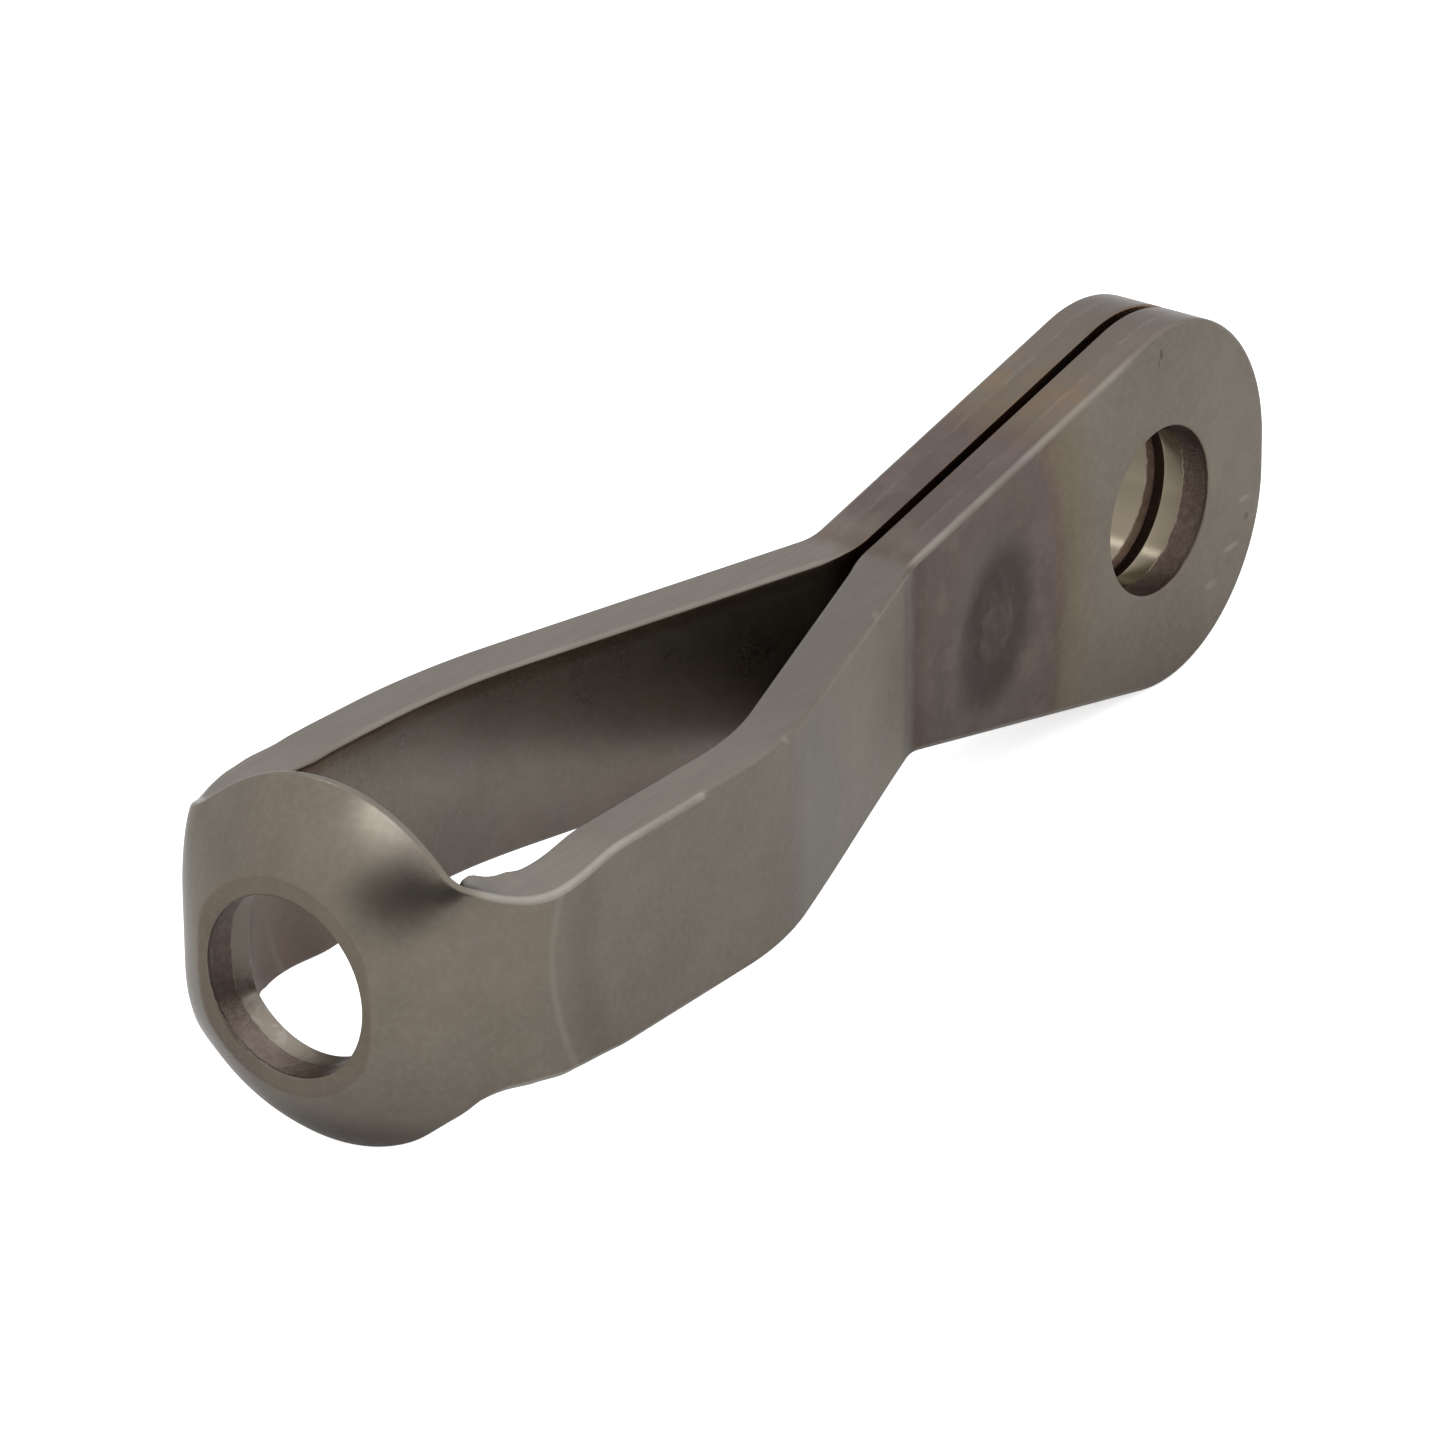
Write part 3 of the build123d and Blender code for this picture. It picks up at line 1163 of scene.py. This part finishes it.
    def roughness(self):
        """Satin all over, rougher where a hole is torn; a smeared wall is smoother in the
        eye and a little rougher in the stud hole."""
        rough = self.shifted(self.between(self.clouds, 0.3, 0.7, 0.27, 0.31), self.mottle, 0.06)
        smeared = self.times(self.in_hole, self.less(1.0, self.torn))
        smoother = self.between(self.x, -30.0, -20.0, -0.08, 0.07)
        rough = self.less(rough, self.times(smeared, smoother))
        return self.plus(rough, self.times(self.in_hole, self.torn, 0.15))

    def fine_relief(self):
        """Mottle and clouds all over, pits in the tears, and ripples in the island."""
        pits = self.times(self.in_hole, self.torn, self.noise(pit_size, 3.0, 0.7))
        ripples = self.noise(ripple_size, 2.0, 0.5, stretch=(1.3, 1, 0.7))
        ripples = self.times(self.island, self.near, ripples)
        return self.relief((
            (self.mottle, mottle_relief),
            (self.clouds, cloud_relief),
            (pits, pit_relief),
            (ripples, ripple_relief),
        ))


def tumbled_steel():
    """The strap's material: its layers one over another, its roughness and relief."""
    steel = TumbledSteel()
    colour = steel.plain_sheet()
    for layer in (
        steel.inner_skin_painted_light,
        steel.outer_skin_painted_light,
        steel.tool_mark,
        steel.brown_border,
        steel.cut_faces,
        steel.weld_heat,
        steel.small_marks,
        steel.punched_holes,
        steel.rubbed_corners,
    ):
        colour = layer(colour)
    inputs = steel.shader.inputs
    steel.feed(inputs["Base Color"], colour)
    steel.feed(inputs["Roughness"], steel.roughness())
    steel.feed(inputs["Normal"], steel.fine_relief())
    inputs["Metallic"].default_value = 1.0
    steel.feed(inputs["Specular Tint"], grazing_tint)
    return steel.material


steel = tumbled_steel()
for name, skin in (("strap_sheet", build_strap()), ("weld_nugget", build_nugget())):
    piece = mesh_object(name, skin)
    piece.data.materials.append(steel)
    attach(piece, "root")
    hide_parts("strap")


# The camera stands where the photograph was taken from. Its azimuth is that of the
# picture's right-hand side, its elevation is how far it looks down, and its roll turns
# the picture; the aim is the point it looks at, and the distance is how far off it is.
camera_azimuth = math.radians(-53.63)
camera_elevation = math.radians(25.23)
camera_roll = math.radians(-0.57)
camera_aim = Vector((-14.084, 11.830, -9.181)) * MM
camera_distance = 443.85 * MM
camera_lens = 241.4

right = Vector((math.cos(camera_azimuth), math.sin(camera_azimuth), 0))
level_ahead = Vector((-math.sin(camera_azimuth), math.cos(camera_azimuth), 0))
ahead = level_ahead * math.cos(camera_elevation) - Vector((0, 0, math.sin(camera_elevation)))
up = right.cross(ahead)
rolled_right = math.cos(camera_roll) * right + math.sin(camera_roll) * up
rolled_up = math.cos(camera_roll) * up - math.sin(camera_roll) * right
camera_data = bpy.data.cameras.new("camera")
camera_data.lens = camera_lens
camera = bpy.data.objects.new("camera", camera_data)
bpy.context.scene.collection.objects.link(camera)
turned = Matrix((rolled_right, rolled_up, -ahead)).transposed().to_4x4()
camera.matrix_world = Matrix.Translation(camera_aim - ahead * camera_distance) @ turned
bpy.context.scene.camera = camera


# light: the floor's paper and its glow, the room's level at the horizon and overhead,
# the two lamps and their colour, and the dark card that stands behind the camera
paper_grey = (0.8, 0.8, 0.8)
glow_to_camera = 0.7
glow_to_metal = 0.05
floor_half = 1.5
horizon_level = 1.0
overhead_level = 1.3
room_rise = (0.1, 0.8)
main_lamp = {"name": "overhead", "azimuth": -174, "elevation": 65, "size": 0.46, "power": 1.55}
back_lamp = {"name": "behind", "azimuth": 96, "elevation": 58.5, "size": 0.16, "power": 0.25}
lamp_colour = (0.90, 0.95, 1.0)
card = {"azimuth": -142, "elevation": 32, "distance": 0.7, "half_width": 0.42, "half_height": 0.19}
card_black = (0.03, 0.03, 0.03)
card_roughness = 0.9


def compass(azimuth, elevation):
    """Unit vector towards an azimuth and an elevation, both in degrees."""
    turn = math.radians(azimuth)
    rise = math.radians(elevation)
    ahead = math.cos(rise) * math.cos(turn)
    aside = math.cos(rise) * math.sin(turn)
    return Vector((ahead, aside, math.sin(rise)))


def studio_floor():
    """A pale sheet under the object. It is lit as matt paper is and keeps the object's
    shadow, and a glow added for the camera and for reflections makes it plain white.
    From below it isn't there."""
    corners = np.array([[-1, -1, 0], [1, -1, 0], [1, 1, 0], [-1, 1, 0]]) * floor_half
    mesh = bpy.data.meshes.new("floor")
    mesh.from_pydata(corners + [0, 0, low[2] * MM], [], [(0, 1, 2, 3)])
    floor = bpy.data.objects.new("floor", mesh)
    bpy.context.scene.collection.objects.link(floor)
    material = bpy.data.materials.new("floor_paper")
    material.use_nodes = True
    tree = material.node_tree
    tree.nodes.remove(tree.nodes["Principled BSDF"])
    paper = tree.nodes.new("ShaderNodeBsdfDiffuse")
    paper.inputs["Color"].default_value = (*paper_grey, 1)
    glow = tree.nodes.new("ShaderNodeEmission")
    clear = tree.nodes.new("ShaderNodeBsdfTransparent")
    path = tree.nodes.new("ShaderNodeLightPath")
    below = tree.nodes.new("ShaderNodeNewGeometry").outputs["Backfacing"]
    in_metal = tree.nodes.new("ShaderNodeMath")
    in_metal.operation = "MAXIMUM"
    dimmed = tree.nodes.new("ShaderNodeMath")
    dimmed.operation = "MULTIPLY"
    dimmed.inputs[1].default_value = glow_to_metal
    strength = tree.nodes.new("ShaderNodeMath")
    strength.operation = "MULTIPLY_ADD"
    strength.inputs[1].default_value = glow_to_camera
    lit = tree.nodes.new("ShaderNodeAddShader")
    final = tree.nodes.new("ShaderNodeMixShader")
    for source, target in (
        (path.outputs["Is Glossy Ray"], in_metal.inputs[0]),
        (path.outputs["Is Transmission Ray"], in_metal.inputs[1]),
        (in_metal.outputs[0], dimmed.inputs[0]),
        (path.outputs["Is Camera Ray"], strength.inputs[0]),
        (dimmed.outputs[0], strength.inputs[2]),
        (strength.outputs[0], glow.inputs["Strength"]),
        (paper.outputs[0], lit.inputs[0]),
        (glow.outputs[0], lit.inputs[1]),
        (below, final.inputs[0]),
        (lit.outputs[0], final.inputs[1]),
        (clear.outputs[0], final.inputs[2]),
        (final.outputs[0], tree.nodes["Material Output"].inputs["Surface"]),
    ):
        tree.links.new(source, target)
    mesh.materials.append(material)


def studio_room():
    """A plain white room for every ray, a little brighter overhead."""
    world = bpy.data.worlds.new("studio")
    bpy.context.scene.world = world
    world.use_nodes = True
    tree = world.node_tree
    height = tree.nodes.new("ShaderNodeSeparateXYZ")
    tree.links.new(tree.nodes.new("ShaderNodeTexCoord").outputs["Generated"], height.inputs[0])
    level = tree.nodes.new("ShaderNodeMapRange")
    level.interpolation_type = "SMOOTHSTEP"
    tree.links.new(height.outputs["Z"], level.inputs["Value"])
    start, end = room_rise
    level.inputs["From Min"].default_value = start
    level.inputs["From Max"].default_value = end
    level.inputs["To Min"].default_value = horizon_level
    level.inputs["To Max"].default_value = overhead_level
    room = tree.nodes["Background"]
    room.inputs["Color"].default_value = (1, 1, 1, 1)
    tree.links.new(level.outputs["Result"], room.inputs["Strength"])


def studio_lamp(name, azimuth, elevation, size, power):
    """A round lamp one metre away that faces the object."""
    data = bpy.data.lights.new(name, "AREA")
    data.shape = "DISK"
    data.size = size
    data.energy = power
    data.color = lamp_colour
    lamp = bpy.data.objects.new(name, data)
    lamp.location = compass(azimuth, elevation)
    lamp.rotation_euler = (-lamp.location).to_track_quat("-Z", "Y").to_euler()
    bpy.context.scene.collection.objects.link(lamp)


def dark_card(azimuth, elevation, distance, half_width, half_height):
    """A black oval card that faces the head. It darkens what the metal reflects from
    behind the camera, and the camera doesn't see it."""
    facing = compass(azimuth, elevation)
    across = Vector((-facing.y, facing.x, 0)).normalized()
    upright = facing.cross(across)
    turn = np.linspace(0, 2 * math.pi, circle_sides, endpoint=False)[:, None]
    middle = dome_centre * MM + distance * np.array(facing)
    rim = middle + half_width * np.cos(turn) * np.array(across)
    rim = rim + half_height * np.sin(turn) * np.array(upright)
    mesh = bpy.data.meshes.new("dark_card")
    mesh.from_pydata(rim, [], [tuple(range(circle_sides))])
    piece = bpy.data.objects.new("dark_card", mesh)
    material = bpy.data.materials.new("black_card")
    material.use_nodes = True
    shader = material.node_tree.nodes["Principled BSDF"]
    shader.inputs["Base Color"].default_value = (*card_black, 1)
    shader.inputs["Roughness"].default_value = card_roughness
    mesh.materials.append(material)
    bpy.context.scene.collection.objects.link(piece)
    piece.visible_camera = False
    piece.visible_diffuse = False
    piece.visible_shadow = False


studio_floor()
studio_room()
studio_lamp(**main_lamp)
studio_lamp(**back_lamp)
dark_card(**card)
bpy.context.scene.view_settings.view_transform = "Standard"
